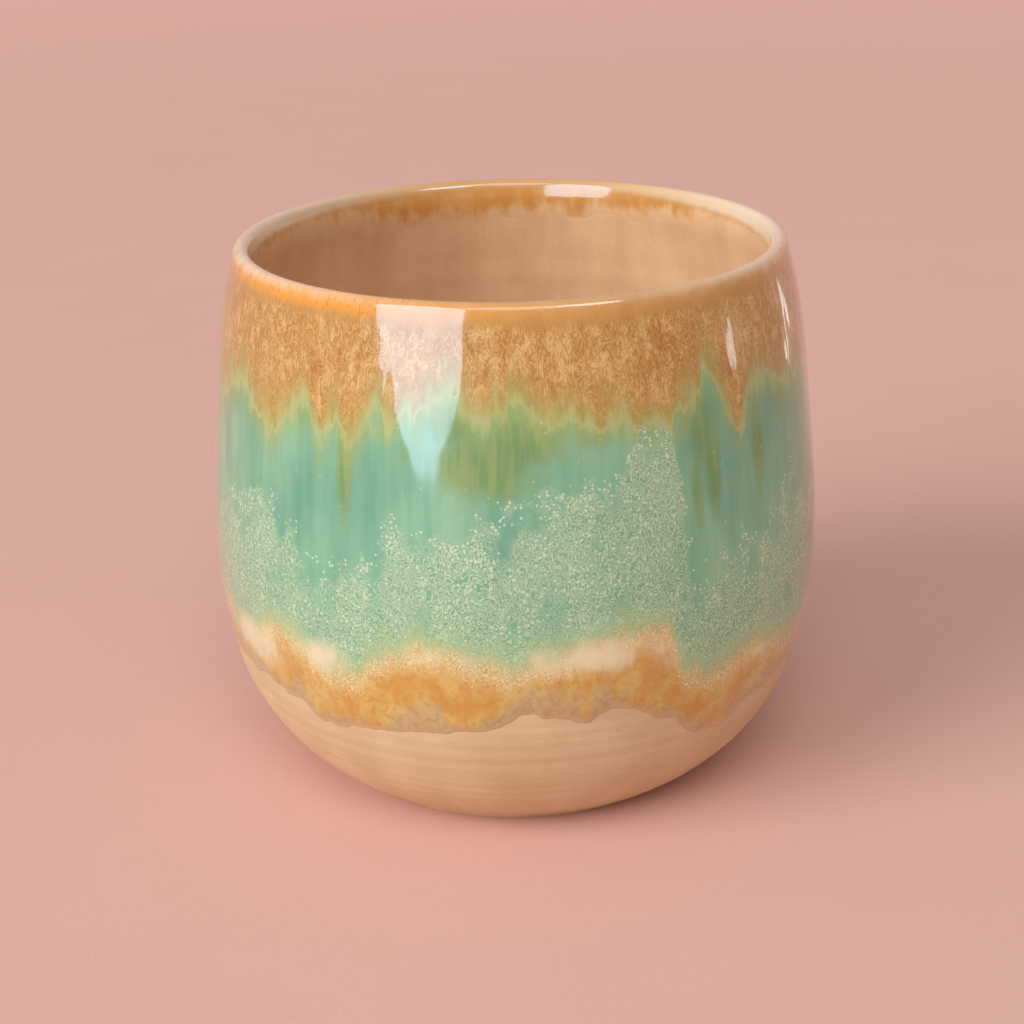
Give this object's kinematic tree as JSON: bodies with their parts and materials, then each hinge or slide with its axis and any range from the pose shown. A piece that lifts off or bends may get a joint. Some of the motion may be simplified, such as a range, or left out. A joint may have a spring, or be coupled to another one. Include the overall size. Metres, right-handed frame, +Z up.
{
  "type": "cachepot",
  "caption": "Round-bellied glazed stoneware cachepot with a flat floor, a rounded rim and a bare turned base, to stand a nursery pot in.",
  "frame": {"origin": "centre of the foot, on the surface that the pot stands on", "axes": "+Z up along the pot's axis; the pictured side faces -Y, with +X to its right"},
  "size_m": [0.15, 0.15, 0.133],
  "materials": {
    "clay": "unglazed, turned, matt",
    "liner_glaze": "satin beige glaze",
    "base_glaze": "glossy reactive glaze, turquoise breaking to cream and amber",
    "top_glaze": "glossy tan glaze that drips into the turquoise"
  },
  "bodies": {
    "root": {"stoneware_body": "clay", "liner_glaze": "liner_glaze", "base_glaze": "base_glaze", "top_glaze": "top_glaze"}
  },
  "joints": []
}
